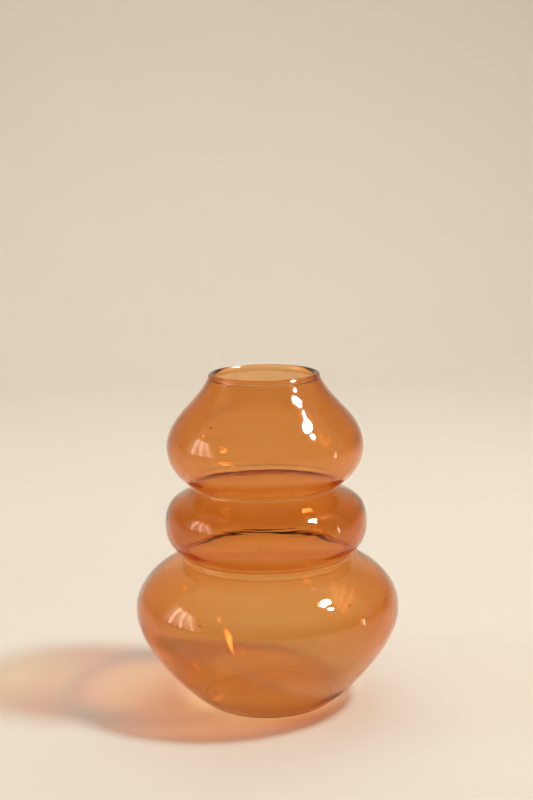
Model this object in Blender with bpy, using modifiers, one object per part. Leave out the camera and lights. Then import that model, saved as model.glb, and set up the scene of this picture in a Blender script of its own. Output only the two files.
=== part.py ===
"""A small blown-glass bud vase: one shell of clear amber glass with three bulges, one above another.

The glass is a single piece, so the model is a single turned solid. Its meridian is drawn once, as a path that
climbs the outside from the middle of the base to the lip, and the inside is that path set in by the wall.
Distances are in metres, angles in degrees. A heading is the direction in which the path runs: 0 is straight
out from the axis, 90 is straight up and 180 is straight in.
"""

import math

import bpy
from mathutils import Vector

# Driving dimensions
HEIGHT = 0.1200
WALL = 0.0017  # thickness of the blown wall
BASE_WALL = 0.0026  # thickness of the glass at the middle of the base
LIP_RADIUS = 0.0199  # outer radius of the mouth, over the bead
BEAD = 0.0012  # radius of the fire-polished bead that rounds the lip
GROOVE = 0.0010  # radius at the bottom of the two pinched grooves
SEGMENTS = 48  # facets round the axis
CHORD_ERROR = 0.00014  # how far a facet may lie from the true meridian
LEAST_TURN = 1e-6  # radians; a run that turns less than this counts as straight
MERGE = 0.00001  # the turned points on the axis are merged within this distance

# Base: a flat ring round a shallow dimple, and the rounded heel outside it
DIMPLE_RADIUS = 0.0120
DIMPLE_DEPTH = 0.0010
DIMPLE_STEPS = 5
FOOT_RADIUS = 0.0217
HEEL = 0.0050
HEEL_HEADING = 22.1
THICK_BASE_HEIGHT = 0.0080  # the wall has thinned to WALL by this height

# Each bulge: its widest radius, the height of that, and the reach of its curve below and above
LOWER_BULGE = (0.0475, 0.0346, 0.0143, 0.0112)
RING_BULGE = (0.0362, 0.0660, 0.0068, 0.0101)
UPPER_BULGE = (0.0351, 0.0936, 0.0072, 0.0106)

# Each groove: its smallest radius, its height, the headings in and out, and the reach on each side
LOWER_GROOVE = (0.0299, 0.0543, 167.0, 43.0, 0.0050, 0.0043)
UPPER_GROOVE = (0.0258, 0.0792, 138.8, 28.1, 0.0049, 0.0037)

HEEL_REACH = 0.0024
NECK_HEADING = 116.3
NECK_REACH = 0.0103
BEAD_FILLET = 0.0008  # radius of the hollow where the wall runs into the bead

# Clear soda-lime glass, tinted amber
AMBER = (0.88, 0.48, 0.24, 1.0)
ROUGHNESS = 0.02
REFRACTIVE_INDEX = 1.47


def along(heading):
    """Unit vector in the direction of a heading."""
    return Vector((math.cos(math.radians(heading)), math.sin(math.radians(heading))))


def inward(heading):
    """Unit vector into the glass, to the left of a path that climbs the outside."""
    return along(heading + 90)


def step_count(length, turn):
    """Steps that keep a curve of this length and total turn within CHORD_ERROR of its chords."""
    turn = max(abs(math.radians(turn)), LEAST_TURN)
    half_step = math.acos(max(0.0, 1 - CHORD_ERROR * turn / length))
    return max(2, math.ceil(turn / (2 * half_step)))


def curve_to(path, end, heading, reach_out, reach_in):
    """Continues the path on a cubic curve that arrives at a point with a heading."""
    start, start_heading = path[-1]
    out_handle = start + reach_out * along(start_heading)
    in_handle = end - reach_in * along(heading)
    steps = step_count((end - start).length, heading - start_heading)
    for i in range(1, steps + 1):
        t = i / steps
        s = 1 - t
        point = s**3 * start + 3 * s * s * t * out_handle + 3 * s * t * t * in_handle + t**3 * end
        run = s * s * (out_handle - start) + 2 * s * t * (in_handle - out_handle) + t * t * (end - in_handle)
        path.append((point, math.degrees(math.atan2(run.y, run.x)) % 360))


def arc_start(centre, radius, heading, side):
    """Where an arc of this heading lies. side is 1 for a turn to the left and -1 for one to the right."""
    return centre - side * radius * inward(heading)


def turn_to(path, radius, heading):
    """Continues the path on an arc that ends with a heading."""
    start, start_heading = path[-1]
    side = 1 if heading > start_heading else -1
    centre = start + side * radius * inward(start_heading)
    turn = heading - start_heading
    steps = step_count(radius * abs(math.radians(turn)), turn)
    for i in range(1, steps + 1):
        now = start_heading + turn * i / steps
        path.append((arc_start(centre, radius, now, side), now))


def base(path):
    """The underside: a cosine dimple that meets the flat foot ring, then the heel."""
    for i in range(DIMPLE_STEPS + 1):
        share = i / DIMPLE_STEPS
        rise = DIMPLE_DEPTH * (1 + math.cos(math.pi * share)) / 2
        path.append((Vector((DIMPLE_RADIUS * share, rise)), 0.0))
    path.append((Vector((FOOT_RADIUS, 0)), 0.0))
    turn_to(path, HEEL, HEEL_HEADING)


def bulge(path, bulge_size, reach_out):
    """Swells to the widest point of a bulge."""
    radius, height, reach_below, _ = bulge_size
    curve_to(path, Vector((radius, height)), 90.0, reach_out, reach_below)


def groove(path, groove_size, reach_out):
    """Closes in over a bulge, and turns back out at the bottom of the groove above it."""
    radius, height, heading_in, heading_out, reach_in, _ = groove_size
    centre = Vector((radius + GROOVE, height))
    curve_to(path, arc_start(centre, GROOVE, heading_in, -1), heading_in, reach_out, reach_in)
    turn_to(path, GROOVE, heading_out)


def lip_fillet():
    """Turn of the hollow where the wall runs into the bead, and the centre of the one on the outside."""
    beside = WALL / 2 + BEAD_FILLET
    between = BEAD + BEAD_FILLET
    below = math.sqrt(between**2 - beside**2)
    bead_centre = Vector((LIP_RADIUS - BEAD, HEIGHT - BEAD))
    centre = bead_centre - below * along(NECK_HEADING) - beside * inward(NECK_HEADING)
    return math.degrees(math.acos(beside / between)), centre


def neck(path, reach_out):
    """Closes in over the upper bulge to the foot of the lip."""
    _, centre = lip_fillet()
    end = arc_start(centre, BEAD_FILLET, NECK_HEADING, -1)
    curve_to(path, end, NECK_HEADING, reach_out, NECK_REACH)


def lip(path):
    """Goes on from the neck over the bead, and ends on the inside of the wall, headed down."""
    turn, _ = lip_fillet()
    turn_to(path, BEAD_FILLET, NECK_HEADING - turn)
    for heading in (90, 180, 270, NECK_HEADING + 180 + turn):
        turn_to(path, BEAD, heading)
    turn_to(path, BEAD_FILLET, NECK_HEADING + 180)


def wall_at(height):
    """Thickness of the glass where the outside is at this height."""
    share = min(1.0, height / THICK_BASE_HEIGHT)
    return BASE_WALL + (WALL - BASE_WALL) * share * share * (3 - 2 * share)


def meridian():
    """The half section, from the axis up the inside, over the lip and down the outside to the axis."""
    path = []
    base(path)
    bulge(path, LOWER_BULGE, HEEL_REACH)
    groove(path, LOWER_GROOVE, LOWER_BULGE[3])
    bulge(path, RING_BULGE, LOWER_GROOVE[5])
    groove(path, UPPER_GROOVE, RING_BULGE[3])
    bulge(path, UPPER_BULGE, UPPER_GROOVE[5])
    neck(path, UPPER_BULGE[3])
    inside = [point + wall_at(point.y) * inward(heading) for point, heading in path[:-1]]
    lip(path)
    return inside + [point for point, _ in reversed(path)]


def glass_material():
    """Clear amber glass."""
    material = bpy.data.materials.new("amber_glass")
    material.use_nodes = True
    shader = material.node_tree.nodes["Principled BSDF"]
    shader.inputs["Base Color"].default_value = AMBER
    shader.inputs["Metallic"].default_value = 0.0
    shader.inputs["Roughness"].default_value = ROUGHNESS
    shader.inputs["IOR"].default_value = REFRACTIVE_INDEX
    shader.inputs["Transmission Weight"].default_value = 1.0
    return material


def turned(name, points, material, collection):
    """A solid turned round +Z from points (radius, height) that end on the axis."""
    mesh = bpy.data.meshes.new(name)
    edges = [(i, i + 1) for i in range(len(points) - 1)]
    mesh.from_pydata([(point.x, 0, point.y) for point in points], edges, [])
    mesh.materials.append(material)
    body = bpy.data.objects.new(name, mesh)
    collection.objects.link(body)
    screw = body.modifiers.new("turn", "SCREW")
    screw.axis = "Z"
    screw.steps = SEGMENTS
    screw.render_steps = SEGMENTS
    screw.use_merge_vertices = True
    screw.merge_threshold = MERGE
    screw.use_smooth_shade = True
    return body


def main():
    for old in list(bpy.data.objects):
        bpy.data.objects.remove(old)
    collection = bpy.data.collections.new("glass_bud_vase")
    bpy.context.scene.collection.children.link(collection)
    turned("glass_body", meridian(), glass_material(), collection)


main()
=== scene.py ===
"""The looks of a small blown-glass bud vase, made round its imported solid.

The vase is one piece of clear amber glass, so the visual model is one fine mesh. Its meridian is drawn as the
solid's is, as a path that climbs the outside from the middle of the base to the lip. The inside is that path
set in by the wall. Lengths are in units of MM, a 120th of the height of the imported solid, unless a comment
says otherwise. A heading is the direction in which the path runs: 0 is straight out from the axis, 90 is
straight up and 180 is straight in.
"""

import math
import random

import bmesh
import bpy
import numpy as np
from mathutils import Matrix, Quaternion, Vector


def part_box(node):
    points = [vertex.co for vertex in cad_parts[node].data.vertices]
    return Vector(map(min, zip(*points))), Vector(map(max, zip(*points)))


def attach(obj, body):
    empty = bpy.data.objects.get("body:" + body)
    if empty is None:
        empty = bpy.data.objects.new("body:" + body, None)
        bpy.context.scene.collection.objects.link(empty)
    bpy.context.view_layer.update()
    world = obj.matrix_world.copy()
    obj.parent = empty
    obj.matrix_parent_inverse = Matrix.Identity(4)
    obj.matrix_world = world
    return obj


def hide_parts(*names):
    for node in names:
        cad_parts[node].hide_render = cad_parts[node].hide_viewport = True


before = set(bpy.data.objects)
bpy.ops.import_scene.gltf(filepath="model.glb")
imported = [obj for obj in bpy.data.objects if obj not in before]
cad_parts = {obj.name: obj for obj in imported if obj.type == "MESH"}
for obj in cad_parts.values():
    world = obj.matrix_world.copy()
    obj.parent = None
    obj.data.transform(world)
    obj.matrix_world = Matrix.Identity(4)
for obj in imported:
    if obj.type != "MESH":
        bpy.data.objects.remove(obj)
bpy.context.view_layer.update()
cad_low, cad_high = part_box("glass_body")

# The vase
HEIGHT = 120.0
MM = (cad_high.z - cad_low.z) / HEIGHT
WALL = 1.7  # thickness of the glass at the lip
LIP_RADIUS = 19.9  # outer radius of the mouth, over the bead
BEAD = 1.2  # radius of the fire-polished bead that rounds the lip
BEAD_FILLET = 0.8  # radius of the hollow where the wall runs into the bead
GROOVE = 1.0  # radius at the bottom of the two pinched grooves

# Base: a flat ring round a shallow dimple, and the rounded heel outside it
DIMPLE_RADIUS = 12.0
DIMPLE_DEPTH = 1.0
DIMPLE_STEPS = 20
FOOT_RADIUS = 21.7
FOOT_STEPS = 12
HEEL = 5.0
HEEL_HEADING = 22.1
HEEL_REACH = 2.4

# Each bulge: its widest radius, the height of that, and the reach of its curve below and above
LOWER_BULGE = (47.5, 34.6, 14.3, 11.2)
RING_BULGE = (36.2, 66.0, 6.8, 10.1)
UPPER_BULGE = (35.1, 93.6, 7.2, 10.6)

# Each groove: its smallest radius, its height, the headings in and out, and the reach on each side
LOWER_GROOVE = (29.9, 54.3, 167.0, 43.0, 5.0, 4.3)
UPPER_GROOVE = (25.8, 79.2, 138.8, 28.1, 4.9, 3.7)

NECK_HEADING = 116.3
NECK_REACH = 10.3
WALLS = (
    (0.0, 1.4),
    (35.0, 1.6),
    (53.5, 1.4),
    (58.5, 1.7),
    (66.0, 1.65),
    (78.5, 1.35),
    (83.5, 1.7),
    (95.0, 1.75),
    (HEIGHT, WALL),
)  # height, and the thickness of the glass there

SEGMENTS = 256  # facets round the axis
STEP = 0.5  # longest run of the meridian between two rings
TURN = 6.0  # most degrees that the meridian turns between two rings
ON_AXIS = 1e-6  # a point this near the axis becomes one vertex, not a ring

# The slight unevenness of hand-blown glass
RIPPLE = 0.08  # height of the ripples on the outside
INNER_RIPPLE = 0.04
RIPPLE_SEEDS = (3, 8)  # for the outside and the inside
RIPPLE_MODES = 14  # how many ripples are added together
RIPPLE_ROUND = 9  # most waves in one turn round the axis
RIPPLE_LENGTH = (9.0, 26.0)  # how far apart the ripples are up the wall
CALM_FOOT = 4.0  # the foot is flat up to here, and the ripples grow over the same height again
CALM_LIP = 113.0  # the ripples die out between here and the lip

# The glass. Part of its colour comes from its depth and part from its surfaces, whose tint by height also
# holds painted light and shade
REFRACTIVE_INDEX = 1.5
DEPTH_TINT = (0.93, 0.59, 0.08, 1)
DEPTH_DENSITY = 690.0  # per metre
TINTS_AND_PAINTED_LIGHT = (
    (3, (0.74, 0.82, 0.75, 1)),
    (12, (0.93, 1.0, 0.99, 1)),
    (24, (0.96, 0.90, 0.80, 1)),
    (38, (0.90, 0.73, 0.55, 1)),
    (44, (0.98, 0.93, 0.83, 1)),
    (52, (1.0, 0.99, 0.93, 1)),
    (58, (0.84, 0.64, 0.38, 1)),
    (75, (0.87, 0.68, 0.43, 1)),
    (82, (0.99, 0.95, 0.88, 1)),
    (119, (0.99, 0.95, 0.88, 1)),
)  # height, and the colour of the two faces of one wall: the glass's own amber, deeper in the thick ring, with painted light and shade in lighter and darker bands for the paper seen through the glass
SPECK = (0.20, 0.10, 0.05, 1)  # colour of a seed of grit in the glass
SPECK_CELLS = 90.0  # per metre; there is one seed in each cell
SPECK_CORE = 0.02  # radius of the dark part of a seed, in cells
SPECK_RIM = 0.045  # radius at which a seed has faded out, in cells
SPECK_BUMP = 0.00025  # metres
LINE_CELLS = (50.0, 50.0, 700.0)  # per metre, across and along the wall
LINE_BUMP = 0.00010  # metres
SMUDGE_CELLS = 70.0  # per metre
SMUDGE_RANGE = (0.45, 0.75)  # values of the noise where the polish starts and ends to worsen
SMUDGE_ROUGHNESS = 0.035
RIDGES = (
    (0, 0.1),
    (43, 0.1),
    (47, 1.0),
    (54, 1.0),
    (58, 0.1),
    (69, 0.2),
    (73, 1.0),
    (79, 1.0),
    (84, 0.1),
    (95, 0.15),
    (101, 0.7),
    (112, 0.7),
    (119, 0.1),
)  # height, and how strongly the tools have marked the glass there
SHADOW_TINTS = (
    (3, (1.0, 1.0, 0.96, 1)),
    (9, (0.985, 0.925, 0.78, 1)),
    (119, (0.98, 0.92, 0.75, 1)),
)  # height, and the colour of one face to light that meets it squarely on its way to the paper
SHADOW_EDGE = (0.36, 0.33, 0.28, 1)  # for one face, where it meets it at a slant
SHADOW_FALL = 4.0  # the power that sets how close to the edge that slant begins

# Sockets of the shader nodes that mix two colours or two shaders
COLOUR_SHARE, FIRST_COLOUR, SECOND_COLOUR, MIXED_COLOUR = 0, 6, 7, 2
SHADER_SHARE, FIRST_SHADER, SECOND_SHADER = 0, 1, 2

# The stage: a paper sweep that runs level behind the vase and then curves up, in a pale room
SWEEP_FRONT = -4000.0
SWEEP_SIDE = 4000.0
SWEEP_LEVEL = 700.0
SWEEP_RADIUS = 500.0
SWEEP_TOP = 2600.0
SWEEP_STEPS = 32
PAPER_GAP = 0.08  # the foot stands this far off the paper, on its grain
PAPER_DARK = (0.765, 0.695, 0.58, 1)
PAPER_PALE = (0.795, 0.725, 0.61, 1)
PAPER_MOTTLE = 9.0  # per metre
ROOM_FRONT = (0.16, 0.12, 0.085, 1)
ROOM_BACK = (0.76, 0.70, 0.61, 1)
ROOM_FADE = (-0.3, 0.9)  # how far back a direction points where the room starts and ends to brighten

# The camera
CAMERA_PLACE = (0.77, -525.0, 204.4)
CAMERA_PITCH = 10.19  # degrees down
CAMERA_ROLL = -0.88
SENSOR_WIDTH = 36.0  # real millimetres, as is the lens
LENS = 67.64

# The lights look at AIM. Distances and sizes are in units of MM, and powers in watts
AIM = (0, 0, 50)
GATHERED_PLACE = (0, 12, 400)
GATHERED_SPREAD = 11.0  # degrees
GATHERED_POWER = 2.7
GATHERED_COLOUR = (0.92, 0.95, 0.75)
WINDOW_AZIMUTH = -81.0
WINDOW_STRIP = 5.2  # degrees from one strip of the window to the next
WINDOW_TILT = 15.0  # of the middle strip
WINDOW_FAN = 5.0  # how much more each next strip is tilted
WINDOW_POWERS = (0.11, 0.55, 0.176, 0.55, 0.22, 0.44, 0.11)  # of the strips, the backmost one first


def along(heading):
    """Unit vector in the direction of a heading: 0 is out from the axis and 90 is up."""
    return Vector((math.cos(math.radians(heading)), math.sin(math.radians(heading))))


def inward(heading):
    """Unit vector into the glass, to the left of a path that climbs the outside."""
    return along(heading + 90)


def step_count(length, turn):
    """Steps that keep within both STEP and TURN."""
    return max(2, math.ceil(length / STEP), math.ceil(abs(turn) / TURN))


def curve_to(path, end, heading, reach_out, reach_in):
    """Continues the path on a cubic curve that arrives at a point with a heading."""
    start, start_heading = path[-1]
    out_handle = start + reach_out * along(start_heading)
    in_handle = end - reach_in * along(heading)
    steps = step_count((end - start).length, heading - start_heading)
    for i in range(1, steps + 1):
        t = i / steps
        s = 1 - t
        point = s**3 * start + 3 * s * s * t * out_handle + 3 * s * t * t * in_handle + t**3 * end
        run = s * s * (out_handle - start) + 2 * s * t * (in_handle - out_handle) + t * t * (end - in_handle)
        path.append((point, math.degrees(math.atan2(run.y, run.x)) % 360))


def arc_start(centre, radius, heading, side):
    """Where an arc of this heading lies. side is 1 for a turn to the left and -1 for one to the right."""
    return centre - side * radius * inward(heading)


def turn_to(path, radius, heading):
    """Continues the path on an arc that ends with a heading."""
    start, start_heading = path[-1]
    side = 1 if heading > start_heading else -1
    centre = start + side * radius * inward(start_heading)
    turn = heading - start_heading
    steps = step_count(radius * abs(math.radians(turn)), turn)
    for i in range(1, steps + 1):
        now = start_heading + turn * i / steps
        path.append((arc_start(centre, radius, now, side), now))


def base(path):
    """The underside: a cosine dimple that meets the flat foot ring, then the heel."""
    for i in range(DIMPLE_STEPS + 1):
        share = i / DIMPLE_STEPS
        rise = DIMPLE_DEPTH * (1 + math.cos(math.pi * share)) / 2
        path.append((Vector((DIMPLE_RADIUS * share, rise)), 0.0))
    for i in range(1, FOOT_STEPS + 1):
        path.append((Vector((DIMPLE_RADIUS + (FOOT_RADIUS - DIMPLE_RADIUS) * i / FOOT_STEPS, 0)), 0.0))
    turn_to(path, HEEL, HEEL_HEADING)


def bulge(path, size, reach_out):
    """Swells to the widest point of a bulge."""
    radius, height, reach_below, _ = size
    curve_to(path, Vector((radius, height)), 90.0, reach_out, reach_below)


def groove(path, size, reach_out):
    """Closes in over a bulge, and turns back out at the bottom of the groove above it."""
    radius, height, heading_in, heading_out, reach_in, _ = size
    centre = Vector((radius + GROOVE, height))
    curve_to(path, arc_start(centre, GROOVE, heading_in, -1), heading_in, reach_out, reach_in)
    turn_to(path, GROOVE, heading_out)


def lip_fillet():
    """Turn of the hollow where the wall runs into the bead, and the centre of the one on the outside."""
    beside = WALL / 2 + BEAD_FILLET
    between = BEAD + BEAD_FILLET
    below = math.sqrt(between**2 - beside**2)
    bead_centre = Vector((LIP_RADIUS - BEAD, HEIGHT - BEAD))
    centre = bead_centre - below * along(NECK_HEADING) - beside * inward(NECK_HEADING)
    return math.degrees(math.acos(beside / between)), centre


def neck(path, reach_out):
    """Closes in over the upper bulge to the foot of the lip."""
    _, centre = lip_fillet()
    end = arc_start(centre, BEAD_FILLET, NECK_HEADING, -1)
    curve_to(path, end, NECK_HEADING, reach_out, NECK_REACH)


def lip(path):
    """Goes on from the neck over the bead, and ends on the inside of the wall, headed down."""
    turn, _ = lip_fillet()
    turn_to(path, BEAD_FILLET, NECK_HEADING - turn)
    for heading in (90, 180, 270, NECK_HEADING + 180 + turn):
        turn_to(path, BEAD, heading)
    turn_to(path, BEAD_FILLET, NECK_HEADING + 180)


def wall_at(height):
    """Thickness of the glass, which eases from one of WALLS to the next."""
    for (low, thick), (high, next_thick) in zip(WALLS, WALLS[1:]):
        if height <= high:
            share = (height - low) / (high - low)
            return thick + (next_thick - thick) * share * share * (3 - 2 * share)
    return WALL


def meridian():
    """The half section: its outside, from the axis over the lip, and its inside, back to the axis."""
    path = []
    base(path)
    bulge(path, LOWER_BULGE, HEEL_REACH)
    groove(path, LOWER_GROOVE, LOWER_BULGE[3])
    bulge(path, RING_BULGE, LOWER_GROOVE[5])
    groove(path, UPPER_GROOVE, RING_BULGE[3])
    bulge(path, UPPER_BULGE, UPPER_GROOVE[5])
    neck(path, UPPER_BULGE[3])
    inside = [point + wall_at(point.y) * inward(heading) for point, heading in path[:-1]]
    lip(path)
    return [point for point, _ in path], inside[::-1]


def ripple(seed):
    """A function of height and angle that is smooth, closes round the axis and stays between 0 and 1."""
    chance = random.Random(seed)
    modes = []
    for _ in range(RIPPLE_MODES):
        waves = chance.randint(0, RIPPLE_ROUND)
        pitch = chance.uniform(*RIPPLE_LENGTH) * chance.choice((-1, 1))
        modes.append((waves, 2 * math.pi / pitch, chance.uniform(0, 2 * math.pi), chance.uniform(0.4, 1.0)))
    total = sum(strength for *_, strength in modes)

    def value(height, angle):
        waves = sum(g * np.cos(k * angle + w * height + p) for k, w, p, g in modes)
        return 0.5 + 0.5 * waves / total

    return value


def calm(height):
    """1 where the glass may ripple, and 0 on the flat foot and the lip."""
    rise = min(1.0, max(0.0, (height - CALM_FOOT) / CALM_FOOT))
    fall = min(1.0, max(0.0, (HEIGHT - height) / (HEIGHT - CALM_LIP)))
    return rise * fall


def glass_mesh():
    """The turned shell. Each side of its wall is set into the glass by its own ripples."""
    outside, inside = meridian()
    points = outside + inside
    angles = np.arange(SEGMENTS) * 2 * math.pi / SEGMENTS
    ripples = [ripple(seed) for seed in RIPPLE_SEEDS]
    mesh = bmesh.new()
    rings = []
    for i, point in enumerate(points):
        if point.x < ON_AXIS:
            rings.append([mesh.verts.new((0, 0, point.y * MM))])
            continue
        run = (points[min(i + 1, len(points) - 1)] - points[i - 1]).normalized()
        is_inside = i >= len(outside)
        depth = (INNER_RIPPLE if is_inside else RIPPLE) * calm(point.y) * ripples[is_inside](point.y, angles)
        radii = (point.x - run.y * depth) * MM
        heights = (point.y + run.x * depth) * MM
        places = zip(radii * np.cos(angles), radii * np.sin(angles), heights)
        rings.append([mesh.verts.new(place) for place in places])
    for low, high in zip(rings, rings[1:]):
        for k in range(SEGMENTS):
            n = (k + 1) % SEGMENTS
            if len(low) == 1:
                mesh.faces.new((low[0], high[n], high[k]))
            elif len(high) == 1:
                mesh.faces.new((low[k], low[n], high[0]))
            else:
                mesh.faces.new((low[k], low[n], high[n], high[k]))
    data = bpy.data.meshes.new("glass_body_fine")
    mesh.to_mesh(data)
    mesh.free()
    data.shade_smooth()
    return data


def add(tree, kind, **values):
    """A new node. Values are set on its inputs, or on the node where it has no such input."""
    node = tree.nodes.new(kind)
    for name, value in values.items():
        if hasattr(node, name):
            setattr(node, name, value)
        else:
            node.inputs[name.replace("_", " ")].default_value = value
    return node


def height_ramp(tree, stops):
    """A colour ramp whose stops are heights on the vase and colours."""
    node = add(tree, "ShaderNodeValToRGB")
    ramp = node.color_ramp
    ramp.interpolation = "EASE"
    first, last = stops[0], stops[-1]
    ramp.elements[0].position, ramp.elements[0].color = first[0] / HEIGHT, first[1]
    ramp.elements[1].position, ramp.elements[1].color = last[0] / HEIGHT, last[1]
    for height, colour in stops[1:-1]:
        ramp.elements.new(height / HEIGHT).color = colour
    return node


def mix_colours(tree, share, first, second):
    """A colour between two. Each is a colour, or the output of a node, and the share is an output."""
    node = add(tree, "ShaderNodeMix", data_type="RGBA")
    tree.links.new(share, node.inputs[COLOUR_SHARE])
    for socket, colour in ((FIRST_COLOUR, first), (SECOND_COLOUR, second)):
        if isinstance(colour, tuple):
            node.inputs[socket].default_value = colour
        else:
            tree.links.new(colour, node.inputs[socket])
    return node.outputs[MIXED_COLOUR]


def mix_shaders(tree, share, first, second):
    """A shader between two. All three are outputs of nodes, and so is the result."""
    node = add(tree, "ShaderNodeMixShader")
    tree.links.new(share, node.inputs[SHADER_SHARE])
    tree.links.new(first, node.inputs[FIRST_SHADER])
    tree.links.new(second, node.inputs[SECOND_SHADER])
    return node.outputs[0]


def uneven_polish(tree, place):
    """Roughness: smudges make the polish a little uneven."""
    smudge = add(tree, "ShaderNodeTexNoise", Scale=SMUDGE_CELLS, Detail=3.0)
    low, high = SMUDGE_RANGE
    polish = add(tree, "ShaderNodeMapRange", From_Min=low, From_Max=high, To_Max=SMUDGE_ROUGHNESS)
    tree.links.new(place, smudge.inputs["Vector"])
    tree.links.new(smudge.outputs["Fac"], polish.inputs["Value"])
    return polish.outputs["Result"]


def tool_lines(tree, split, height):
    """Normal: fine lines round the glass, left by its turning, and strongest where the tools pressed.

    The lines are drawn on height less radius, so that they also lie close together where the wall is flat.
    """
    link = tree.links.new
    flat = add(tree, "ShaderNodeCombineXYZ")
    radius = add(tree, "ShaderNodeVectorMath", operation="LENGTH")
    climb = add(tree, "ShaderNodeMath", operation="SUBTRACT")
    along_wall = add(tree, "ShaderNodeCombineXYZ")
    stretch = add(tree, "ShaderNodeMapping", Scale=LINE_CELLS)
    lines = add(tree, "ShaderNodeTexNoise", Scale=1.0, Detail=2.0)
    ridges = height_ramp(tree, [(up, (strength, strength, strength, 1)) for up, strength in RIDGES])
    marks = add(tree, "ShaderNodeMath", operation="MULTIPLY")
    bump = add(tree, "ShaderNodeBump", Strength=0.5, Distance=LINE_BUMP)
    for axis in "XY":
        link(split.outputs[axis], flat.inputs[axis])
        link(split.outputs[axis], along_wall.inputs[axis])
    link(flat.outputs[0], radius.inputs[0])
    link(split.outputs["Z"], climb.inputs[0])
    link(radius.outputs["Value"], climb.inputs[1])
    link(climb.outputs[0], along_wall.inputs["Z"])
    link(along_wall.outputs[0], stretch.inputs["Vector"])
    link(stretch.outputs["Vector"], lines.inputs["Vector"])
    link(height, ridges.inputs["Fac"])
    link(lines.outputs["Fac"], marks.inputs[0])
    link(ridges.outputs["Color"], marks.inputs[1])
    link(marks.outputs[0], bump.inputs["Height"])
    return bump.outputs["Normal"]


def specks(tree, place, colour, normal):
    """Colour and normal: a few dark seeds, each of which lifts the surface a little."""
    cells = add(tree, "ShaderNodeTexVoronoi", Scale=SPECK_CELLS)
    seeds = add(tree, "ShaderNodeMapRange", From_Min=SPECK_CORE, From_Max=SPECK_RIM, To_Min=1.0, To_Max=0.0)
    bump = add(tree, "ShaderNodeBump", Strength=1.0, Distance=SPECK_BUMP)
    tree.links.new(place, cells.inputs["Vector"])
    tree.links.new(cells.outputs["Distance"], seeds.inputs["Value"])
    tree.links.new(seeds.outputs["Result"], bump.inputs["Height"])
    tree.links.new(normal, bump.inputs["Normal"])
    return mix_colours(tree, seeds.outputs["Result"], colour, SPECK), bump.outputs["Normal"]


def straight_through(tree, height):
    """Shader: light goes straight through, and less of it where it meets the wall at a slant."""
    slant = add(tree, "ShaderNodeLayerWeight", Blend=0.5)
    loss = add(tree, "ShaderNodeMath", operation="POWER")
    loss.inputs[1].default_value = SHADOW_FALL
    facing_tint = height_ramp(tree, SHADOW_TINTS)
    clear = add(tree, "ShaderNodeBsdfTransparent")
    tree.links.new(slant.outputs["Facing"], loss.inputs[0])
    tree.links.new(height, facing_tint.inputs["Fac"])
    tint = mix_colours(tree, loss.outputs[0], facing_tint.outputs["Color"], SHADOW_EDGE)
    tree.links.new(tint, clear.inputs["Color"])
    return clear.outputs[0]


def glass_material():
    """Clear amber glass, coloured by the depth of glass that light crosses and a little by surfaces with
    painted light and shade.

    Light that goes on to the paper isn't bent by the glass: it passes straight through and is only tinted.
    """
    material = bpy.data.materials.new("amber_glass_fine")
    material.use_nodes = True
    tree = material.node_tree
    link = tree.links.new
    output = tree.nodes["Material Output"]
    shader = tree.nodes["Principled BSDF"]
    shader.inputs["IOR"].default_value = REFRACTIVE_INDEX
    shader.inputs["Transmission Weight"].default_value = 1.0

    place = add(tree, "ShaderNodeTexCoord").outputs["Object"]
    split = add(tree, "ShaderNodeSeparateXYZ")
    share_of_height = add(tree, "ShaderNodeMapRange", From_Max=HEIGHT * MM)
    height = share_of_height.outputs["Result"]
    # Painted light and shade: this tint by height is partly the glass's own colour and partly lighter and
    # darker bands that stand for the lit and shaded paper seen through the glass
    tint = height_ramp(tree, TINTS_AND_PAINTED_LIGHT)
    link(place, split.inputs[0])
    link(split.outputs["Z"], share_of_height.inputs["Value"])
    link(height, tint.inputs["Fac"])

    colour, normal = specks(tree, place, tint.outputs["Color"], tool_lines(tree, split, height))
    link(colour, shader.inputs["Base Color"])
    link(normal, shader.inputs["Normal"])
    link(uneven_polish(tree, place), shader.inputs["Roughness"])

    absorb = add(tree, "ShaderNodeVolumeAbsorption", Color=DEPTH_TINT, Density=DEPTH_DENSITY)
    link(absorb.outputs[0], output.inputs["Volume"])

    light_path = add(tree, "ShaderNodeLightPath")
    clear = straight_through(tree, height)
    bounced = mix_shaders(tree, light_path.outputs["Is Diffuse Ray"], shader.outputs[0], clear)
    surface = mix_shaders(tree, light_path.outputs["Is Shadow Ray"], bounced, clear)
    link(surface, output.inputs["Surface"])
    return material


def make_vase():
    """The visible piece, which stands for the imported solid."""
    vase = bpy.data.objects.new("glass_vase", glass_mesh())
    bpy.context.scene.collection.objects.link(vase)
    vase.data.materials.append(glass_material())
    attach(vase, "root")
    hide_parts("glass_body")


def paper_material():
    """Pale cream paper, with a faint mottle."""
    material = bpy.data.materials.new("paper")
    material.use_nodes = True
    tree = material.node_tree
    shader = tree.nodes["Principled BSDF"]
    shader.inputs["Roughness"].default_value = 0.9
    shader.inputs["Specular IOR Level"].default_value = 0.2
    place = add(tree, "ShaderNodeTexCoord")
    mottle = add(tree, "ShaderNodeTexNoise", Scale=PAPER_MOTTLE, Detail=4.0)
    tree.links.new(place.outputs["Object"], mottle.inputs["Vector"])
    tint = mix_colours(tree, mottle.outputs["Fac"], PAPER_DARK, PAPER_PALE)
    tree.links.new(tint, shader.inputs["Base Color"])
    return material


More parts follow.
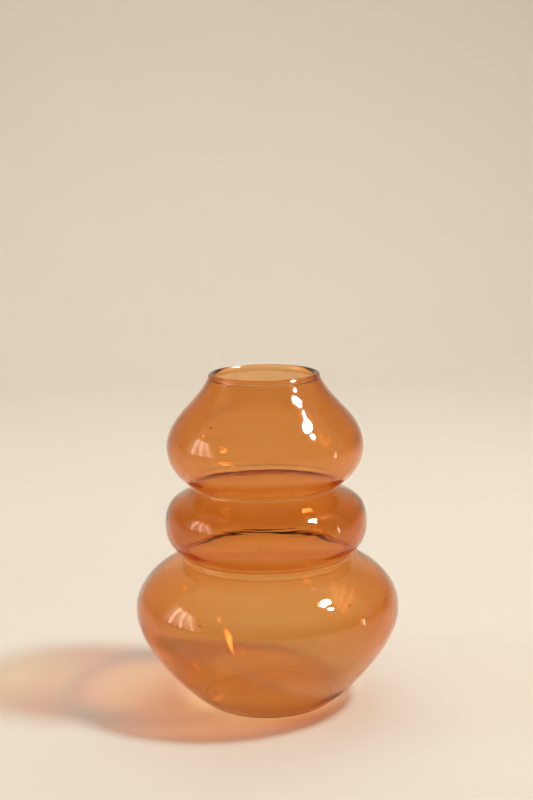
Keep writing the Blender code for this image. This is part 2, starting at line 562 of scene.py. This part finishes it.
def make_sweep():
    """The paper that the vase stands on, level and then curved up behind it."""
    profile = [(SWEEP_FRONT, 0.0), (SWEEP_LEVEL, 0.0)]
    for i in range(1, SWEEP_STEPS + 1):
        turn = math.pi / 2 * i / SWEEP_STEPS
        profile.append((SWEEP_LEVEL + SWEEP_RADIUS * math.sin(turn), SWEEP_RADIUS * (1 - math.cos(turn))))
    profile.append((SWEEP_LEVEL + SWEEP_RADIUS, SWEEP_TOP))
    mesh = bmesh.new()
    rows = [[mesh.verts.new((x * MM, y * MM, z * MM)) for x in (-SWEEP_SIDE, SWEEP_SIDE)] for y, z in profile]
    for low, high in zip(rows, rows[1:]):
        mesh.faces.new((low[0], low[1], high[1], high[0]))
    data = bpy.data.meshes.new("sweep")
    mesh.to_mesh(data)
    mesh.free()
    data.shade_smooth()
    data.materials.append(paper_material())
    sweep = bpy.data.objects.new("sweep", data)
    sweep.location.z = -PAPER_GAP * MM
    bpy.context.scene.collection.objects.link(sweep)


def make_world():
    """The room: pale, and dimmer in front of the vase than behind it."""
    world = bpy.data.worlds.new("room")
    bpy.context.scene.world = world
    world.use_nodes = True
    tree = world.node_tree
    background = tree.nodes["Background"]
    background.inputs["Strength"].default_value = 1.0
    place = add(tree, "ShaderNodeTexCoord")
    split = add(tree, "ShaderNodeSeparateXYZ")
    low, high = ROOM_FADE
    back = add(tree, "ShaderNodeMapRange", From_Min=low, From_Max=high)
    tree.links.new(place.outputs["Generated"], split.inputs[0])
    tree.links.new(split.outputs["Y"], back.inputs["Value"])
    tint = mix_colours(tree, back.outputs["Result"], ROOM_FRONT, ROOM_BACK)
    tree.links.new(tint, background.inputs["Color"])


def direction_to(azimuth, elevation):
    """Unit vector from the vase. azimuth 0 is in front of it and 90 is to the right."""
    a, e = math.radians(azimuth), math.radians(elevation)
    return Vector((math.sin(a) * math.cos(e), -math.cos(a) * math.cos(e), math.sin(e)))


def area_light(
    name, azimuth, elevation, distance, size, power, even=True, shadow=True, shown=True, lit=True, tilt=0
):
    """A light that looks at AIM. Its size is a disc's or a rectangle's.

    An even light loses no strength with distance, so it lights the whole sweep alike. One that casts no
    shadow stands for light from all over the room. shown is whether the glass shows the light, lit is whether
    it lights the paper, and tilt turns a rectangle in its own plane.
    """
    data = bpy.data.lights.new(name, "AREA")
    data.shape = "RECTANGLE" if isinstance(size, tuple) else "DISK"
    if isinstance(size, tuple):
        data.size, data.size_y = size[0] * MM, size[1] * MM
    else:
        data.size = size * MM
    data.energy = power
    if even:
        data.use_nodes = True
        falloff = add(data.node_tree, "ShaderNodeLightFalloff", Strength=1.0)
        emission = data.node_tree.nodes["Emission"]
        data.node_tree.links.new(falloff.outputs["Constant"], emission.inputs["Strength"])
    light = bpy.data.objects.new(name, data)
    bpy.context.scene.collection.objects.link(light)
    direction = direction_to(azimuth, elevation)
    light.location = (Vector(AIM) + direction * distance) * MM
    light.rotation_mode = "QUATERNION"
    light.rotation_quaternion = direction.to_track_quat("Z", "Y") @ Quaternion((0, 0, 1), math.radians(tilt))
    light.visible_camera = False
    light.visible_glossy = shown
    light.visible_transmission = shown
    light.visible_diffuse = lit
    data.use_shadow = shadow


def gathered_light():
    """The light that the bulges gather on the paper under the vase, as a shadowless spot."""
    data = bpy.data.lights.new("gathered", "SPOT")
    data.energy = GATHERED_POWER
    data.color = GATHERED_COLOUR
    data.spot_size = math.radians(GATHERED_SPREAD)
    data.spot_blend = 0.7
    data.use_shadow = False
    light = bpy.data.objects.new("gathered", data)
    bpy.context.scene.collection.objects.link(light)
    light.location = Vector(GATHERED_PLACE) * MM
    light.visible_camera = False
    light.visible_glossy = False
    light.visible_transmission = False


def light_the_vase():
    """A key light from the right, its glints in the glass, a window on the left, and soft light."""
    area_light("key", azimuth=75.6, elevation=55.4, distance=750, size=120, power=5.6, shown=False)
    glint = {"distance": 750, "even": False, "lit": False}
    area_light("glint", azimuth=79.5, elevation=54, size=(130, 60), power=22, **glint)
    area_light("low_glint", azimuth=72, elevation=43.5, size=46, power=4, **glint)
    area_light("back_glint", azimuth=148, elevation=57, size=80, power=5, **glint)
    area_light("sliver", azimuth=86.5, elevation=-1, distance=600, size=(22, 130), power=0.3, lit=False)
    soft = {"even": False, "shown": False}
    area_light("overhead", 180, 52, distance=1050, size=(900, 500), power=2.2, shadow=False, **soft)
    area_light("skylight", 180, 66, distance=1200, size=(1000, 800), power=2.2, **soft)
    area_light("fill", -8, 40, distance=1700, size=(1500, 1200), power=0.42, shadow=False, shown=False)
    middle = len(WINDOW_POWERS) // 2
    for i, power in enumerate(WINDOW_POWERS):
        azimuth = WINDOW_AZIMUTH + WINDOW_STRIP * (i - middle)
        tilt = WINDOW_TILT + WINDOW_FAN * (i - middle)
        area_light("window", azimuth, elevation=17, distance=900, size=(66, 460), power=power, tilt=tilt)
    gathered_light()


def make_camera():
    """Looks slightly down on the vase from the front."""
    data = bpy.data.cameras.new("camera")
    data.sensor_width = SENSOR_WIDTH
    data.lens = LENS
    data.clip_start = 0.05
    data.clip_end = 100.0
    camera = bpy.data.objects.new("camera", data)
    bpy.context.scene.collection.objects.link(camera)
    camera.location = Vector(CAMERA_PLACE) * MM
    pitch = math.radians(CAMERA_PITCH)
    forward = Vector((0, math.cos(pitch), -math.sin(pitch)))
    aim = forward.to_track_quat("-Z", "Y")
    camera.rotation_mode = "QUATERNION"
    camera.rotation_quaternion = aim @ Quaternion((0, 0, 1), math.radians(CAMERA_ROLL))
    bpy.context.scene.camera = camera


make_camera()
make_vase()
make_sweep()
make_world()
light_the_vase()
bpy.context.scene.view_settings.view_transform = "Standard"
